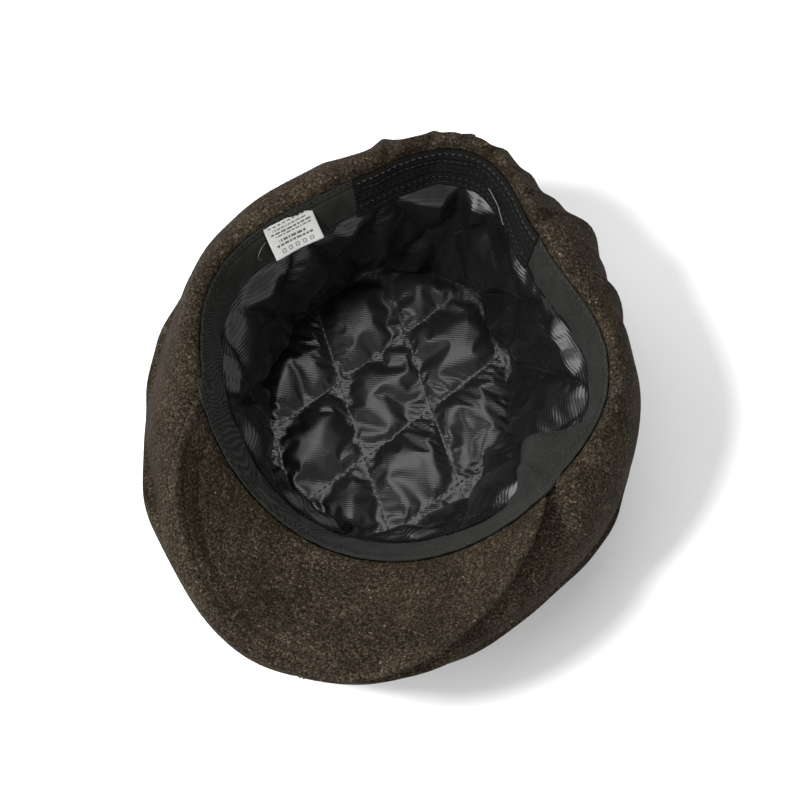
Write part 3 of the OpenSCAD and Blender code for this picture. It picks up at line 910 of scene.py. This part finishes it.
# Wadding lies behind the satin.
def waddingPieces():
    a, r, z, rho = tipGrid(61, drop=7 * mm)
    r = r * 0.88
    disc = makeObject("wadding_topSheet", place(a, r, z), gridFaces(61, 61), paleStuffing)
    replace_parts(thicken(disc, 2.5 * mm), "wadding_top")
    for side, start in (("left", -179), ("right", 1)):
        a, t = np.meshgrid(np.linspace(start, start + 178, 120), np.linspace(0.16, 0.88, 20),
                           indexing="ij")
        r, z = wallPoint(a, t)
        behind = 3.2 * mm + 2.0 * mm * smooth(np.minimum(t, 1 - t) / 0.25)
        sheet = makeObject("wadding_side_" + side + "Sheet", place(a, r + behind, z), gridFaces(120, 20),
                           paleStuffing, None)
        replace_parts(thicken(sheet, 1.5 * mm), "wadding_side_" + side)
        sideWadding.append(sheet)


# Paths of the quilting lines over the top lining, and down the wall.
def quiltPaths():
    topPaths, wallPaths = [], []
    for sign in (1, -1):
        for k in range(-12, 6):
            q = np.linspace(-75 * mm, 75 * mm, 500)
            p = quilt["across"] * (k - sign * q / quilt["along"])
            x, y = p + quilt["knotX"] + cap["lean"] * quilt["leanShare"], q + quilt["knotY"]
            a, r = np.degrees(np.arctan2(x, -y)), np.hypot(x, y)
            rho = r / tipRadius(a)
            z = cap["tipHeight"] - cap["tipSink"] * np.sin(np.pi / 2 * (1 - np.minimum(rho, 1)))
            points = place(a, r, z + 0.25 * mm)[rho < 0.97]
            if len(points) > 20:
                topPaths.append((points, np.tile([0, 0, 1.0], (len(points), 1))))
            tall = np.linspace(0, 85 * mm, 500)
            arc = quilt["across"] * (k - sign * tall / quilt["along"])
            a = np.degrees(arc / quilt["wallArc"]) + quilt["wallKnot"]
            zTop, zLow = wallPoint(a, np.zeros(500))[1], cap["tipHeight"]
            t = (tall + quilt["wallFoot"] - zTop) / (zLow - zTop)
            r, z = wallPoint(a, t)
            inward = np.stack([-sinD(a), cosD(a), 0.25 + 0 * a], -1)
            keep = (a > -179) & (a < 179) & (t > 0.03) & (t < 0.97)
            if keep.sum() > 20:
                wallPaths.append((place(a, r, z)[keep] + 0.25 * mm * inward[keep], unit(inward[keep])))
    return topPaths, wallPaths


# A loose end of thread, as a bent tube.
def threadEnd(name, points, radius, material):
    t = np.linspace(0, len(points) - 1, 40)
    smoothPath = np.stack([np.interp(t, range(len(points)), np.array(points)[:, k]) for k in range(3)], -1)
    for _ in range(12):
        smoothPath[1:-1] = (smoothPath[:-2] + 2 * smoothPath[1:-1] + smoothPath[2:]) / 4
    ahead = unit(np.gradient(smoothPath, axis=0))
    aside = unit(np.cross(ahead, [0.3, 0.2, 1]))
    up = np.cross(aside, ahead)
    turn = (np.arange(6) * np.pi / 3)[None, :, None]
    verts = smoothPath[:, None] + radius * (aside[:, None] * np.cos(turn) + up[:, None] * np.sin(turn))
    makeObject(name, verts, gridFaces(40, 6, closed=True), material)


print("lining")
top = liningTop()
wall = liningWall()
topPaths, wallPaths = quiltPaths()
stitchMesh("topQuilting", topPaths, blackThread)
wallQuilting = stitchMesh("wallQuilting", wallPaths, blackThread, None)
# Each point of a loose thread: angle, how far down the band, and how many millimetres off its face.
for name, face, thick, route in (
        ("looseThreadA", tapeFace, 0.16 * mm, ((-109.5, 0.42, 0.0), (-107, 0.40, 1.4), (-104.5, 0.50, 1.8),
                                               (-104.5, 0.62, 1.4), (-105.5, 0.66, 0.9))),
        ("looseThreadB", elasticFace, 0.24 * mm, ((171, 0.62, 0.0), (166, 0.70, 1.2), (161, 0.84, 1.6)))):
    points = [face(a, w) + off * mm * np.array([-sinD(a), cosD(a), 0.4]) for a, w, off in route]
    threadEnd(name, points, thick, greyThread)
waddingPieces()


# ---- care label ----

label = dict(width=23 * mm, length=15 * mm, at=-119, down=0.2, lift=42, gap=1.9 * mm, curl=1.1 * mm,
             thick=0.3 * mm)


# The design's own sweatband line, from which the label hangs.
def bandPointPlain(a, down):
    tilt = 24 + 12 * max(0, cosD(a)) ** 2 - 6 * max(0, -cosD(a)) ** 2
    r = rimRadius(a) - cap["bandThick"] / 2 - down * cap["bandWidth"] * sinD(tilt)
    return float(r), float(rimHeight(a) + 0.6 * mm - down * cap["bandWidth"] * cosD(tilt))


# Middle of the label's cloth: u across it from -0.5 to 0.5 and v along it from its sewn edge.
def labelFace(u, v, off=0.0):
    u, v = np.broadcast_arrays(np.asarray(u, float), np.asarray(v, float))
    r, z = bandPointPlain(label["at"], label["down"])
    nextR, _ = bandPointPlain(label["at"] + 1, label["down"])
    lastR, _ = bandPointPlain(label["at"] - 1, label["down"])
    base = place(label["at"], r - label["gap"], z)
    step = place(label["at"] + 1, nextR, z) - place(label["at"] - 1, lastR, z)
    across = unit(step * np.array([1, 1, 0]))
    inward = np.cross(np.array([0, 0, 1.0]), across)
    down = inward * sinD(label["lift"]) - np.array([0, 0, 1.0]) * cosD(label["lift"])
    out = np.cross(across, down)
    bow = label["curl"] * (v ** 2 - 0.35 * np.cos(2 * np.pi * u) * v) + 0.25 * mm * np.sin(7 * u + 5 * v)
    return (base + across * (u * label["width"])[..., None] + down * (v * label["length"])[..., None]
            + out * (bow + off)[..., None])


# Printed marks: plain bars for the lines of print, and hollow squares for the care signs.
def labelMarks():
    rng = np.random.default_rng(5)
    bars = []
    for v, tall, start, end in ((0.17, 0.035, -0.34, 0.36), (0.27, 0.05, -0.42, 0.42),
                                (0.37, 0.035, -0.40, 0.34), (0.50, 0.07, -0.24, 0.30),
                                (0.63, 0.06, -0.36, 0.38)):
        u = start
        while u < end:
            wide = rng.uniform(0.03, 0.11)
            bars.append((u, min(u + wide, end), v, v + tall))
            u += wide + 0.022
    for k in range(5):
        u, v, side, line = -0.33 + 0.145 * k, 0.78, 0.075, 0.014
        tall = side * label["width"] / label["length"]
        bars += [(u, u + side, v, v + 0.02), (u, u + side, v + tall - 0.02, v + tall),
                 (u, u + line, v, v + tall), (u + side - line, u + side, v, v + tall)]
    verts, faces = [], []
    for u0, u1, v0, v1 in bars:
        u, v = np.meshgrid(np.linspace(u0, u1, 4), np.linspace(v0, v1, 2), indexing="ij")
        faces.append(gridFaces(4, 2, flip=True) + 8 * len(verts))
        verts.append(labelFace(u, v, label["thick"] / 2 + 0.03 * mm).reshape(-1, 3))
    return makeObject("labelMarks", np.concatenate(verts), np.concatenate(faces), labelInk, "label")


print("care label")
u, v = np.meshgrid(np.linspace(-0.5, 0.5, 40), np.linspace(0, 1, 30), indexing="ij")
careLabel = makeObject("careLabel", labelFace(u, v), gridFaces(40, 30, flip=True), shadedLabelSatin, "label")
thicken(careLabel, label["thick"], 0)
marks = labelMarks()
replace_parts(careLabel, "care_label")
edgeU = np.linspace(-0.46, 0.46, 60)
sewnEdge = labelFace(edgeU, np.full(60, 0.07), label["thick"] / 2)
edgeUp = unit(labelFace(edgeU, np.full(60, 0.07), 1 * mm) - labelFace(edgeU, np.full(60, 0.07), 0))
labelSewing = stitchMesh("labelStitches", [(sewnEdge, edgeUp)], blackThread, "label", 0.8)
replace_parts(labelSewing, "label_stitching")


# ---- what shows of the frame, and where the loose pieces stand ----

nodeMaterial = dict(care_label=shadedLabelSatin, visor_board=paleBoard, crown_interlining=greyInterlining)
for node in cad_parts:
    slots = bpy.data.objects[node].data.materials
    slots.clear()
    slots.append(nodeMaterial.get(node, paleStuffing if "wadding" in node else blackThread))

# The pieces that belong to no body have their placing written into their meshes.
for piece in crownPieces + [crownFuzz]:
    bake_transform(piece)
for piece in bands:
    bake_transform(piece)
for piece in [wall, wallQuilting] + sideWadding:
    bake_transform(piece)
